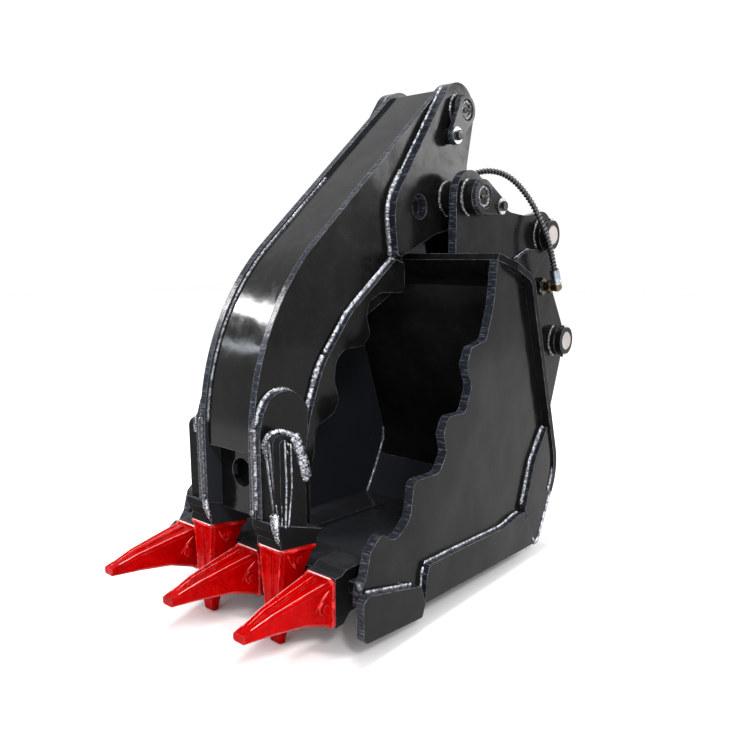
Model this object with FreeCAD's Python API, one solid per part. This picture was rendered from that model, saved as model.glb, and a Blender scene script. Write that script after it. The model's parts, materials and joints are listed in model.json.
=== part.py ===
import FreeCAD, Part
import math
import os

# Excavator bucket with a built-in hydraulic thumb, in millimetres.
# X is across the bucket (the near side in the photograph is +X), Y points back and Z up.
# Side outlines are drawn in (y, z) with the tooth points' axis at z = 0 and are measured on the
# object. On export everything moves so that the stick pin's axis is the origin.

V = FreeCAD.Vector

# Pivot centres (y, z)
STICK_PIN = (538.0, 541.0)
LINK_PIN = (623.0, 311.0)
THUMB_PIVOT = (262.0, 603.0)
ROD_PIN = (290.0, 762.0)
CYLINDER_BASE = (390.0, 420.0)
ORIGIN = STICK_PIN

# Clearances
RUNNING_FIT = 0.05
SIDE_GAP = 0.35
POCKET_GAP = 0.4
OPEN_PIVOT_GAP = 5.0

# Pins
MOUNT_PIN_R = 20.0
PIVOT_PIN_R = 20.0
ROD_PIN_R = 15.0
BUSH_WALL = 5.0
PIN_CHAMFER = 2.5
BOSS_R = 33.0
COLLAR_R = 30.5

# Lateral stations, half widths from the middle plane
BOSS_GAP = 107.0
SEAT_GROOVE_W = 3.0
SEAT_GROOVE_D = 0.5
EAR_IN = 115.0
EAR_T = 16.0
EAR_OUT = EAR_IN + EAR_T
BOSS_OUT = EAR_OUT + 12.0
PIVOT_BOSS_OUT = EAR_OUT + 21.0
COLLAR_T = 14.0
COLLAR_OUT = BOSS_OUT + SIDE_GAP + COLLAR_T
FLAG_T = 8.0
FLAG_RECESS = 4.5
FLAG_RECESS_R = 9.5

SIDE_IN = 205.0
SIDE_T = 16.0
SIDE_OUT = SIDE_IN + SIDE_T
GUARD_T = 12.0
BLOCK_T = 14.0
FLANGE_OUT = 237.0
WRAP_T = 12.0

WALL_IN = 52.0
WALL_T = 12.0
WALL_OUT = WALL_IN + WALL_T
PIVOT_T = 18.0
PIVOT_OUT = WALL_OUT + PIVOT_T
GRIP_T = 12.0
GRIP_OUT = WALL_OUT + GRIP_T
PAD_T = 12.0
PAD_OUT = WALL_OUT + PAD_T
LEG_STEP = 3.0
LEG_CHAMFER = 7.0

# Cutting edge and teeth
EDGE_FRONT = -140.0
EDGE_BEVEL = 14.0
EDGE_TOP = 27.0
EDGE_BOTTOM = -3.0
TOOTH_PITCH = 160.0
TOOTH_W = 56.0
TOOTH_H = 72.0
TOOTH_LENGTH = 154.0
TIP_W = 23.0
TIP_H = 12.0
TIP_LIFT = 2.5
TOOTH_REAR = -170.0
TOOTH_MID = 2.0
TOOTH_PIN_R = 6.5
NOSE_LENGTH = 92.0
THUMB_TOOTH_X = 82.0
LEG_OUT = THUMB_TOOTH_X + TOOTH_W / 2 - LEG_STEP
THUMB_TOOTH_REAR = (-162.5, 65.4)
THUMB_TOOTH_LEAN = 81.7

# Thumb lobes
HUB_R = 56.0
ROD_LOBE_R = 50.0
COVER_RECESS = 6.0
COVER_T = 9.0
COVER_END = 207.0
PANEL_FACE = -179.0
PANEL_T = 10.0
HAND_HOLE_R = 23.0

# Hydraulic cylinder, distances along its axis from the base pin
ROD_REACH = math.hypot(ROD_PIN[0] - CYLINDER_BASE[0], ROD_PIN[1] - CYLINDER_BASE[1])
BARREL_R = 36.0
BORE_R = 30.0
ROD_R = 17.5
CAP_FROM = 36.0
CAP_T = 16.0
BARREL_END = 215.0
GLAND_R = 38.5
GLAND_T = 13.0
GLAND_SPIGOT = 20.0
PISTON_FROM = 150.0
PISTON_T = 28.0
EYE_R = 34.0
EYE_HALF = BARREL_R + 1.0
ROD_EYE_R = 29.0
ROD_EYE_HALF = 27.5
NECK_R = 24.0
NECK_END = ROD_REACH - 38.0
PORT_AT = 60.0
LUG_T = 14.0

# Hose
HOSE_R = 8.2
BULKHEAD = (536.0, 434.0)
HOSE_POINTS = [
    (-58, 430, 498), (-58, 430, 550), (-56, 441, 608), (-24, 453, 655), (30, 463, 677), (86, 469, 664),
    (132, 474, 618), (160, 484, 562), (172, 501, 513), (172, 520, 470),
]

solids = {}


# Outlines

def flat(point):
    return V(0, point[0], point[1])


def corner_radius(point):
    return point[2] if len(point) > 2 else 0.0


def rounded(points):
    """Closed wire through (y, z, r) corners, each with its own fillet radius."""
    count = len(points)
    turns = []
    for i in range(count):
        here = flat(points[i])
        back = (flat(points[i - 1]) - here).normalize()
        ahead = (flat(points[(i + 1) % count]) - here).normalize()
        half = back.getAngle(ahead) / 2
        r = corner_radius(points[i])
        if r <= 0 or math.pi / 2 - half < 1e-4:
            turns.append((here, None, here))
            continue
        reach = r / math.tan(half)
        middle = here + (back + ahead).normalize() * (r / math.sin(half) - r)
        turns.append((here + back * reach, middle, here + ahead * reach))
    edges = []
    for i in range(count):
        start, middle, end = turns[i]
        if middle is not None:
            edges.append(Part.Arc(start, middle, end).toShape())
        following = turns[(i + 1) % count][0]
        if end.distanceToPoint(following) > 1e-4:
            edges.append(Part.makeLine(end, following))
    return Part.Wire(edges)


def arc_corners(centre, r, start, end):
    """Corners whose fillets join into one arc from angle start to angle end."""
    while end <= start:
        end += 2 * math.pi
    count = math.ceil((end - start) / math.radians(80))
    step = (end - start) / count
    reach = r / math.cos(step / 2)
    corners = []
    for k in range(count):
        angle = start + (k + 0.5) * step
        corners.append((centre[0] + reach * math.cos(angle), centre[1] + reach * math.sin(angle), r))
    return corners


def lobe(centre, r, before, after):
    """Arc round a centre, tangent to the lines from one corner and to the next."""
    def bearing(p):
        return math.atan2(p[1] - centre[1], p[0] - centre[0])

    def swing(p):
        return math.acos(r / math.hypot(p[0] - centre[0], p[1] - centre[1]))

    return arc_corners(centre, r, bearing(before) + swing(before), bearing(after) - swing(after))


def link_outline(c1, r1, c2, r2):
    """Two rounded ends joined by their outer tangents."""
    run = math.hypot(c2[0] - c1[0], c2[1] - c1[1])
    heading = math.atan2(c2[1] - c1[1], c2[0] - c1[0])
    side = math.pi / 2 - math.asin((r1 - r2) / run)
    small = arc_corners(c2, r2, heading - side, heading + side)
    big = arc_corners(c1, r1, heading + side, heading - side)
    return small + big


def offset_path(points, distance):
    """Open path moved to its left, with its fillets kept concentric."""
    moved = []
    count = len(points)
    for i in range(count):
        here = flat(points[i])
        ways = []
        if i > 0:
            ways.append((here - flat(points[i - 1])).normalize())
        if i < count - 1:
            ways.append((flat(points[i + 1]) - here).normalize())
        normals = [V(0, -w.z, w.y) for w in ways]
        if len(normals) == 1:
            place = here + normals[0] * distance
            moved.append((place.y, place.z, 0))
            continue
        bisector = (normals[0] + normals[1]).normalize()
        place = here + bisector * (distance / bisector.dot(normals[0]))
        left_turn = ways[0].cross(ways[1]).x > 0
        r = corner_radius(points[i])
        grown = r - distance if left_turn else r + distance
        moved.append((place.y, place.z, max(grown, 0.5) if r > 0 else 0))
    return moved


def strip(points, thickness):
    """Outline of a bent plate whose outer face follows the path."""
    return list(points) + offset_path(points, thickness)[::-1]


# Solids

def plate(x0, x1, points, holes=()):
    face = Part.Face(rounded(points))
    body = face.extrude(V(x1 - x0, 0, 0))
    body.translate(V(x0, 0, 0))
    for centre, r in holes:
        body = body.cut(rod(x0 - 1, x1 + 1, centre, r))
    return body


def rod(x0, x1, centre, r):
    return Part.makeCylinder(r, x1 - x0, V(x0, centre[0], centre[1]), V(1, 0, 0))


def ring(x0, x1, centre, r, bore):
    return rod(x0, x1, centre, r).cut(rod(x0 - 1, x1 + 1, centre, bore))


def turned(profile, place, direction):
    """Solid turned from (radius, height) points about an axis from place along direction."""
    wire = Part.makePolygon([V(r, 0, h) for r, h in profile] + [V(profile[0][0], 0, profile[0][1])])
    body = Part.Face(wire).revolve(V(0, 0, 0), V(0, 0, 1), 360)
    body.Placement = FreeCAD.Placement(place, FreeCAD.Rotation(V(0, 0, 1), direction))
    return body


def pin(x0, x1, centre, r, chamfer=PIN_CHAMFER):
    length = x1 - x0
    profile = [(0, 0), (r - chamfer, 0), (r, chamfer), (r, length - chamfer), (r - chamfer, length), (0, length)]
    return turned(profile, V(x0, centre[0], centre[1]), V(1, 0, 0))


def hexagon(place, direction, flats, height):
    r = flats / math.sqrt(3)
    points = [V(r * math.cos(math.radians(60 * k)), r * math.sin(math.radians(60 * k)), 0) for k in range(7)]
    body = Part.Face(Part.makePolygon(points)).extrude(V(0, 0, height))
    crown = Part.makeCone(flats / 2 + height * 1.2, flats / 2, height, V(0, 0, 0), V(0, 0, 1))
    body = body.common(crown)
    body.Placement = FreeCAD.Placement(place, FreeCAD.Rotation(V(0, 0, 1), direction))
    return body


def bolt(x, centre, size, sink):
    """Hexagon bolt along X: head outward of x, shank inward."""
    head = hexagon(V(x, centre[0], centre[1]), V(1, 0, 0), size * 1.5, size * 0.65)
    return head.fuse(rod(x - sink, x, centre, size / 2)).removeSplitter()


def washer(x, centre, r, bore, thickness):
    return ring(x, x + thickness, centre, r, bore)


def mirrored(body):
    return body.mirror(V(0, 0, 0), V(1, 0, 0))


def merged(*bodies):
    result = bodies[0]
    for body in bodies[1:]:
        result = result.fuse(body)
    return result.removeSplitter()


def keep(name, *bodies):
    solids[name] = list(bodies)


def keep_pair(name, body):
    keep("right_" + name, body)
    keep("left_" + name, mirrored(body))


def keep_both(name, *bodies):
    keep(name, *(list(bodies) + [mirrored(b) for b in bodies]))


# Bucket shell

WRAPPER_PATH = [
    (-70, -4), (5, -44, 60), (366, -60, 22), (440, 77, 100), (312, 462, 38), (212, 503),
]
SPLIT = (414.6, 30.0)
FLOOR_PATH = WRAPPER_PATH[:3] + [SPLIT]
BACK_PATH = [SPLIT] + WRAPPER_PATH[3:]
MOUTH = [
    (200, 418, 200), (177, 357, 14), (131, 349, 12), (117, 318, 12), (135, 284, 20), (116, 241, 12),
    (68, 243, 16), (53, 217, 16), (63, 184, 20), (43, 154, 16), (-24, 157, 14), (-33, 100, 26),
    (-70, 72, 26), (-102, 97, 14), (-128, 76, 14), (-138, 40, 8), (-147, 28, 3),
]


def shell_filled():
    return plate(-FLANGE_OUT - 5, FLANGE_OUT + 5, WRAPPER_PATH)


def back_plate():
    body = plate(-FLANGE_OUT, FLANGE_OUT, strip(BACK_PATH, WRAP_T))
    for side in (1, -1):
        corner = Part.makePolygon([
            V(side * (FLANGE_OUT + 1), 205, 600), V(side * (FLANGE_OUT + 1), 252, 600),
            V(side * SIDE_OUT, 209, 600), V(side * SIDE_OUT, 205, 600),
            V(side * (FLANGE_OUT + 1), 205, 600)])
        body = body.cut(Part.Face(corner).extrude(V(0, 0, -200)))
    return body


def floor_plate():
    return plate(-SIDE_OUT, SIDE_OUT, strip(FLOOR_PATH, WRAP_T))


def side_plate():
    inner = offset_path(WRAPPER_PATH, WRAP_T)
    outline = [(-150, EDGE_BOTTOM), (-71, EDGE_BOTTOM)] + inner + MOUTH + [(-150, 20)]
    return plate(SIDE_IN, SIDE_OUT, outline)


def front_block():
    outline = [(-160, -51, 12), (-19, -65, 4), (-11, -44, 4), (-23, -11, 4), (-147, 20, 4), (-160, 12, 4)]
    return plate(SIDE_OUT, SIDE_OUT + BLOCK_T, outline)


def wear_strip():
    outline = [(-9, -46), (352, -61, 6), (312, 15, 3), (285, 15, 30), (241, 6, 100), (77, 13, 60), (4, 15, 6),
               (-4, 0, 4)]
    return plate(SIDE_OUT, SIDE_OUT + GUARD_T, outline).cut(plate(SIDE_OUT - 1, SIDE_OUT + BLOCK_T, [
        (-160, -51, 12), (-19, -65, 4), (-11, -44, 4), (-23, -11, 4), (-147, 20, 4), (-160, 12, 4)]))


def heel_plate(back):
    outline = [(353.5, -60.5, 3), (367, -59, 16), (440, 77, 100), (408, 172, 8), (388, 161, 16), (346, 108, 60),
               (314, 18, 3)]
    return plate(SIDE_OUT, SIDE_OUT + GUARD_T, outline).cut(back)


def floor_strips():
    """Wear bars that stand on the inner floor, in line with the way the load slides."""
    inner = offset_path(FLOOR_PATH, WRAP_T)
    low, high = flat(inner[1]), flat(inner[2])
    run = (high - low).normalize()
    start = low + run * 40
    end = high - run * 60
    bar = strip([(start.y, start.z), (end.y, end.z)], 8)
    return plate(105, 160, bar)


def cutting_edge():
    outline = [(EDGE_FRONT + EDGE_BEVEL, EDGE_BOTTOM), (-71, EDGE_BOTTOM), (-64.4, 6.6), (-56, 11),
               (-60, EDGE_TOP, 3), (EDGE_FRONT, EDGE_TOP), (EDGE_FRONT, 9)]
    return plate(-SIDE_IN, SIDE_IN, outline)


# Ears, bosses and mount pins

EAR_OUTLINE_START = [(300, 380), (395, 100), (470, 80, 60), (586, 92, 42)]


def ear_points():
    low = EAR_OUTLINE_START
    neck = (591, 432, 70)
    rise = (472, 578, 160)
    dip = (398, 583, 70)
    foot = (214, 470)
    points = list(low)
    points += lobe(LINK_PIN, 42, low[-1], neck)
    points.append(neck)
    points += lobe(STICK_PIN, 49, neck, rise)
    points += [rise, dip]
    points += lobe(THUMB_PIVOT, 48, dip, foot)
    points.append(foot)
    return points


def ear():
    bore = MOUNT_PIN_R + BUSH_WALL
    holes = [(STICK_PIN, bore), (LINK_PIN, bore), (THUMB_PIVOT, PIVOT_PIN_R + RUNNING_FIT), (BULKHEAD, 11)]
    return plate(EAR_IN, EAR_OUT, ear_points(), holes).cut(shell_filled())


def ear_doubler():
    """Curved pad on the outer face that spreads the load of the stick boss."""
    outline = [(491, 449, 10), (516, 472, 60), (546, 500, 6)] + [(546, 508, 4), (474, 512, 30), (405, 487, 8)]
    outline += [(440, 476, 60)]
    return plate(EAR_OUT, EAR_OUT + 8, outline).cut(rod(EAR_OUT - 1, BOSS_OUT, STICK_PIN, BOSS_R))


def mount_boss(centre, inner):
    bore = MOUNT_PIN_R + BUSH_WALL
    if inner:
        return ring(BOSS_GAP, EAR_IN, centre, BOSS_R, bore)
    return ring(EAR_OUT, BOSS_OUT, centre, BOSS_R, bore)


def mount_bush(centre):
    return ring(BOSS_GAP, BOSS_OUT, centre, MOUNT_PIN_R + BUSH_WALL, MOUNT_PIN_R + RUNNING_FIT)


def mount_pin(centre):
    """Pin with a relief groove at each end of its seat, its locking collar and the cross bolt."""
    middle = (BOSS_OUT + SIDE_GAP + COLLAR_OUT) / 2
    hole = Part.makeCylinder(4.2, 90, V(middle, centre[0], centre[1] - 45), V(0, 0, 1))
    body = pin(-BOSS_OUT - 3, COLLAR_OUT + 2, centre, MOUNT_PIN_R).cut(hole)
    groove = ring(BOSS_GAP - SEAT_GROOVE_W, BOSS_GAP, centre, MOUNT_PIN_R + 1, MOUNT_PIN_R - SEAT_GROOVE_D)
    body = body.cut(groove).cut(mirrored(groove))
    collar = ring(BOSS_OUT + SIDE_GAP, COLLAR_OUT, centre, COLLAR_R, MOUNT_PIN_R + RUNNING_FIT).cut(hole)
    head_at = centre[1] + COLLAR_R - 1.5
    seat = Part.makeCylinder(7.2, 10, V(middle, centre[0], head_at), V(0, 0, 1))
    foot = Part.makeCylinder(7.2, 10, V(middle, centre[0], centre[1] - COLLAR_R + 1.5), V(0, 0, -1))
    collar = collar.cut(seat).cut(foot)
    shank = Part.makeCylinder(4, 2 * COLLAR_R + 6, V(middle, centre[0], centre[1] - COLLAR_R - 7), V(0, 0, 1))
    cross = merged(shank, hexagon(V(middle, centre[0], head_at), V(0, 0, 1), 12, 5.5))
    nut = hexagon(V(middle, centre[0], centre[1] - COLLAR_R + 1.5), V(0, 0, -1), 12, 6)
    nut = nut.cut(shank)
    return body, collar, cross, nut


# Thumb pivot

PIVOT_FLAG_BOLT = (319.0, 589.0)
ROD_FLAG_BOLT = (255.0, 713.0)


def flag(x, centre, bolt_at, big, small, hole):
    body = plate(x, x + FLAG_T, link_outline(centre, big, bolt_at, small), [(bolt_at, hole)])
    return body.cut(rod(x + FLAG_T - FLAG_RECESS, x + FLAG_T + 1, centre, FLAG_RECESS_R))


def pivot_boss():
    tube = ring(EAR_OUT, PIVOT_BOSS_OUT, THUMB_PIVOT, BOSS_R - 1, PIVOT_PIN_R + RUNNING_FIT)
    block = ring(EAR_OUT, PIVOT_BOSS_OUT, PIVOT_FLAG_BOLT, 15, 5.25)
    block = block.cut(rod(EAR_OUT - 1, PIVOT_BOSS_OUT + 1, THUMB_PIVOT, BOSS_R - 1))
    return tube, block


# Thumb

THUMB_FRONT = (-208.0, 402.0, 400.0)
THUMB_FOOT = (-208.0, 112.0)
THUMB_HEEL = (-112.0, 80.0)
HUB_ENTRY = (222.0, 538.0, 40.0)
ROD_ENTRY = (320.0, 668.0, 60.0)
ARM_HOLE = (171.0, 584.0)
ARM_HOLE_R = 21.5
REAR_EDGE = [(-114, 150, 60), (-70, 235, 60), (-40, 318, 60), (38, 395, 60), (128, 440, 40), (136, 492, 20)]


def thumb_wall_points():
    points = [THUMB_FOOT, THUMB_HEEL] + REAR_EDGE + [HUB_ENTRY]
    points += lobe(THUMB_PIVOT, HUB_R, HUB_ENTRY, ROD_ENTRY)
    points.append(ROD_ENTRY)
    points += lobe(ROD_PIN, ROD_LOBE_R, ROD_ENTRY, THUMB_FRONT)
    points.append(THUMB_FRONT)
    return points


def pivot_plate_points():
    start = (111, 495, 8)
    front = (98, 588, 80)
    points = [start, HUB_ENTRY]
    points += lobe(THUMB_PIVOT, HUB_R, HUB_ENTRY, ROD_ENTRY)
    points.append(ROD_ENTRY)
    points += lobe(ROD_PIN, ROD_LOBE_R, ROD_ENTRY, front)
    points.append(front)
    return points


GRIP_POINTS = [
    (-126, 77), (-106, 77, 6), (-106, 151, 20), (-94, 197, 12), (-92, 231, 10), (-50, 248, 14), (-36, 266, 14),
    (-47, 304, 20), (-40, 338, 14), (-18, 350, 14), (22, 350, 16), (43, 366, 14), (33, 400, 16), (40, 424, 12),
    (72, 437, 16), (136, 434, 12), (136, 486, 8), (112, 493, 4), (-5, 407, 150), (-72, 327, 150), (-102, 252, 80),
    (-114, 201, 20),
]


def hub_holes():
    bore = PIVOT_PIN_R + BUSH_WALL
    return [(THUMB_PIVOT, bore), (ROD_PIN, ROD_PIN_R + RUNNING_FIT), (ARM_HOLE, ARM_HOLE_R)]


def thumb_wall():
    return plate(WALL_IN, WALL_OUT, thumb_wall_points(), hub_holes())


def pivot_plate():
    return plate(WALL_OUT, PIVOT_OUT, pivot_plate_points(), hub_holes())


def grip_plate():
    body = plate(WALL_OUT, GRIP_OUT, GRIP_POINTS)
    return body.cut(plate(WALL_OUT - 1, PIVOT_OUT + 1, pivot_plate_points()))


def foot_pad(grip):
    """Oval pad that thickens the wall where the tooth adapter is welded on."""
    outline = [(-206, 110), (-126, 84), (-112, 200, 30), (-106, 268, 16), (-136, 301, 40), (-188, 299, 40),
               (-206, 245, 30)]
    return plate(WALL_OUT, PAD_OUT, outline).cut(grip)


def front_path():
    whole = lobe(ROD_PIN, ROD_LOBE_R, ROD_ENTRY, THUMB_FRONT)
    top = whole[-1]
    run = (flat(THUMB_FRONT) - flat(top)).normalize()
    start = flat(ROD_PIN) + V(0, run.z, -run.y) * ROD_LOBE_R
    shifted = start - run * 5
    return [(shifted.y, shifted.z), THUMB_FRONT, (THUMB_FRONT[0], COVER_END)]


def front_cover():
    face = offset_path(front_path(), COVER_RECESS)
    return plate(-WALL_IN, WALL_IN, strip(face, COVER_T))


def lower_panel():
    ledge = THUMB_FRONT[0] + COVER_RECESS
    outline = [(PANEL_FACE, 99), (PANEL_FACE + PANEL_T, 99), (PANEL_FACE + PANEL_T, COVER_END + 6),
               (ledge + COVER_T, COVER_END + 6), (ledge + COVER_T, COVER_END), (PANEL_FACE, COVER_END)]
    body = plate(-WALL_IN, WALL_IN, outline)
    hole = Part.makeCylinder(HAND_HOLE_R, 60, V(0, PANEL_FACE - 20, 165), V(0, 1, 0))
    return body.cut(hole)


def rear_liner():
    path = [HUB_ENTRY[:2], (136, 492, 20), (128, 440, 40), (38, 395, 60), (-40, 318, 60), (-70, 235, 60),
            (-112, 154)]
    inset = offset_path(path, -4)
    return plate(-WALL_IN, WALL_IN, strip(inset, -PANEL_T))


def hub_boss():
    outer = EAR_IN - SIDE_GAP
    return ring(PIVOT_OUT, outer, THUMB_PIVOT, BOSS_R - 2, PIVOT_PIN_R + BUSH_WALL)


def hub_bush():
    return ring(WALL_IN, EAR_IN - SIDE_GAP, THUMB_PIVOT, PIVOT_PIN_R + BUSH_WALL, PIVOT_PIN_R + RUNNING_FIT)


def rod_boss():
    tube = ring(PIVOT_OUT, PIVOT_OUT + 11, ROD_PIN, 29, ROD_PIN_R + RUNNING_FIT)
    block = ring(PIVOT_OUT, PIVOT_OUT + 11, ROD_FLAG_BOLT, 14, 5.25)
    return tube, block


def rod_spacer():
    return ring(ROD_EYE_HALF + SIDE_GAP, WALL_IN, ROD_PIN, 22, ROD_PIN_R + RUNNING_FIT)


# Teeth, all drawn pointing along minus Y from the middle of the rear face

def section(y, half_x, low, high, chamfer):
    c = chamfer
    corners = [
        (half_x - c, low), (half_x, low + c), (half_x, high - c), (half_x - c, high),
        (c - half_x, high), (-half_x, high - c), (-half_x, low + c), (c - half_x, low),
    ]
    points = [V(x, y, z) for x, z in corners]
    return Part.makePolygon(points + [points[0]])


def nose_sections(gap):
    return [
        section(0.0, 19 + gap, -22 - gap, 24 + gap, 5),
        section(-NOSE_LENGTH * 0.62 - gap, 14.5 + gap, -12 - gap, 14 + gap, 4),
        section(-NOSE_LENGTH - gap, 10.5 + gap, -6 - gap, 7 + gap, 3),
    ]


def ridge_section(y, half_x, low, high):
    points = [V(-half_x, y, low), V(half_x, y, low), V(half_x / 2, y, high), V(-half_x / 2, y, high)]
    return Part.makePolygon(points + [points[0]])


def tooth():
    half = TOOTH_W / 2
    top = TOOTH_H / 2
    body = Part.makeLoft([
        section(0, half, -top, top, 5),
        section(-5, half, -top, top, 5),
        section(-10, half - 2, -top + 2, top - 2, 5),
        section(-52, half - 5, -top / 2, top - 7, 5),
        section(-107, half - 11, -top / 4, top - 16, 4),
        section(-TOOTH_LENGTH, TIP_W / 2, TIP_LIFT - TIP_H / 2, TIP_LIFT + TIP_H / 2, 2),
    ], True, True)
    body = body.cut(Part.makeLoft(nose_sections(POCKET_GAP), True, True))
    ridge = Part.makeLoft([
        ridge_section(-14, 8, top - 10, top + 1.5),
        ridge_section(-107, 7, top - 22, top - 13),
        ridge_section(-TOOTH_LENGTH + 8, 5, TIP_LIFT, TIP_LIFT + TIP_H / 2 + 1),
    ], True, True)
    body = merged(body, ridge)
    body = body.cut(Part.makeLoft(nose_sections(POCKET_GAP), True, True))
    pin_hole = Part.makeCylinder(TOOTH_PIN_R + RUNNING_FIT, TOOTH_W + 20, V(-half - 10, -20, 0), V(1, 0, 0))
    return body.cut(pin_hole)


def tooth_nose():
    return Part.makeLoft(nose_sections(0), True, True)


def tooth_pin():
    half = TOOTH_W / 2
    return turned([(0, 0), (TOOTH_PIN_R - 1, 0), (TOOTH_PIN_R, 1), (TOOTH_PIN_R, 2 * half + 5),
                   (TOOTH_PIN_R - 1, 2 * half + 6), (0, 2 * half + 6)], V(-half - 3, -20, 0), V(1, 0, 0))


def pin_bore():
    return Part.makeCylinder(TOOTH_PIN_R + RUNNING_FIT, TOOTH_W + 20, V(-TOOTH_W / 2 - 10, -20, 0), V(1, 0, 0))


def bucket_adapter():
    half = TOOTH_W / 2
    rear = TOOTH_REAR
    outline = [(rear, -36), (rear + 17, -36, 4), (-140, -22, 10), (-96, -22, 14), (-73, -9, 3),
               (-73, EDGE_BOTTOM), (EDGE_FRONT + EDGE_BEVEL, EDGE_BOTTOM), (EDGE_FRONT, 9),
               (EDGE_FRONT, EDGE_TOP), (-74, EDGE_TOP), (-74, 31, 3), (-98, 46, 12), (-146, 46, 8),
               (rear + 14, 40, 3), (rear, 40)]
    shank = plate(-half - 1, half + 1, outline)
    nose = tooth_nose()
    nose.translate(V(0, rear, TOOTH_MID))
    bore = pin_bore()
    bore.translate(V(0, rear, TOOTH_MID))
    return merged(shank, nose).cut(bore)


def on_bucket(body, x):
    placed = body.copy()
    placed.translate(V(x, TOOTH_REAR, TOOTH_MID))
    return placed


def on_thumb(body):
    placed = body.copy()
    placed.Placement = FreeCAD.Placement(
        V(THUMB_TOOTH_X, THUMB_TOOTH_REAR[0], THUMB_TOOTH_REAR[1]),
        FreeCAD.Rotation(V(1, 0, 0), THUMB_TOOTH_LEAN)).multiply(body.Placement)
    return placed


def thumb_adapter(*neighbours):
    """Head under the wall with the tooth nose, and a leg welded up its outer face."""
    nose = on_thumb(tooth_nose())
    bore = on_thumb(pin_bore())
    half_width = TOOTH_W / 2 - 2
    lean = math.radians(90 - THUMB_TOOTH_LEAN)
    back = V(0, math.sin(lean), math.cos(lean))
    across = V(0, math.cos(lean), -math.sin(lean))
    middle = flat(THUMB_TOOTH_REAR)
    corner = []
    for along, wide in ((0, 38), (13, 38), (17, 34), (17, -34), (13, -38), (0, -38)):
        spot = middle + back * along + across * wide
        corner.append((spot.y, spot.z))
    head = plate(THUMB_TOOTH_X - half_width, THUMB_TOOTH_X + half_width, corner[::-1])
    under = [(-196, 78), (-127, 66), (-113, 79), (-113, 80.3), (-207.9, 111.9), (-207.9, 100)]
    web = plate(THUMB_TOOTH_X - half_width, THUMB_TOOTH_X + half_width, under)
    leg = [(-196, 76), (-129, 62, 4), (-138, 96, 14), (-138, 158, 12), (-166, 228, 12), (-184, 244, 12),
           (-203, 240, 12), (-203, 118, 20)]
    leg = plate(PAD_OUT, LEG_OUT, leg)
    corners = [e for e in leg.Edges if e.BoundBox.XMin > LEG_OUT - 1e-6 and e.BoundBox.ZMax > 100]
    leg = leg.makeChamfer(LEG_CHAMFER, corners)
    body = merged(head, web, leg, nose).cut(bore)
    for neighbour in neighbours:
        body = body.cut(neighbour)
    return body


# Cylinder, drawn upright from the base pin and then leaned to the rod pin

CYLINDER_LEAN = math.degrees(math.atan2(CYLINDER_BASE[0] - ROD_PIN[0], ROD_PIN[1] - CYLINDER_BASE[1]))


def on_cylinder(body):
    placed = body.copy()
    placed.Placement = FreeCAD.Placement(
        V(0, CYLINDER_BASE[0], CYLINDER_BASE[1]), FreeCAD.Rotation(V(1, 0, 0), CYLINDER_LEAN)).multiply(
        body.Placement)
    return placed


def up(profile):
    return turned(profile, V(0, 0, 0), V(0, 0, 1))


def barrel():
    tube = up([(BORE_R, CAP_FROM + CAP_T), (BARREL_R, CAP_FROM + CAP_T), (BARREL_R, BARREL_END),
               (BORE_R, BARREL_END)])
    cap = up([(0, CAP_FROM), (BARREL_R - 4, CAP_FROM), (BARREL_R, CAP_FROM + 4), (BARREL_R, CAP_FROM + CAP_T),
              (0, CAP_FROM + CAP_T)])
    eye = rod(-EYE_HALF, EYE_HALF, (0, 0), EYE_R)
    web = plate(-EYE_HALF, EYE_HALF, [(-EYE_R, 0), (EYE_R, 0), (EYE_R, CAP_FROM), (-EYE_R, CAP_FROM)])
    web = web.common(Part.makeCylinder(BARREL_R - 2, 80, V(0, 0, -5), V(0, 0, 1)))
    body = merged(tube, cap, eye, web)
    return body.cut(rod(-EYE_HALF - 1, EYE_HALF + 1, (0, 0), ROD_PIN_R + BUSH_WALL))


def gland():
    bore = ROD_R + 0.1
    body = up([(bore, BARREL_END - GLAND_SPIGOT), (BORE_R - RUNNING_FIT, BARREL_END - GLAND_SPIGOT),
               (BORE_R - RUNNING_FIT, BARREL_END), (GLAND_R, BARREL_END), (GLAND_R, BARREL_END + GLAND_T - 2),
               (GLAND_R - 2, BARREL_END + GLAND_T), (bore, BARREL_END + GLAND_T)])
    for k in range(4):
        angle = math.radians(45 + 90 * k)
        spot = V(29 * math.cos(angle), 29 * math.sin(angle), BARREL_END + GLAND_T - 6)
        body = body.cut(Part.makeCylinder(3, 10, spot, V(0, 0, 1)))
    return body


def wiper():
    return up([(ROD_R + 0.1, BARREL_END + GLAND_T), (ROD_R + 5, BARREL_END + GLAND_T),
               (ROD_R + 2, BARREL_END + GLAND_T + 3), (ROD_R + 0.1, BARREL_END + GLAND_T + 3)])


def piston():
    top = PISTON_FROM + PISTON_T
    return up([(0, PISTON_FROM), (BORE_R - 0.6, PISTON_FROM), (BORE_R - 0.6, PISTON_FROM + 9), (26, PISTON_FROM + 9),
               (26, top - 9), (BORE_R - 0.6, top - 9), (BORE_R - 0.6, top), (0, top)])


def piston_seal():
    return up([(26, PISTON_FROM + 9), (BORE_R - RUNNING_FIT, PISTON_FROM + 9),
               (BORE_R - RUNNING_FIT, PISTON_FROM + PISTON_T - 9), (26, PISTON_FROM + PISTON_T - 9)])


def piston_rod():
    top = PISTON_FROM + PISTON_T
    return up([(0, top), (ROD_R, top), (ROD_R, NECK_END), (0, NECK_END)])


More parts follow.
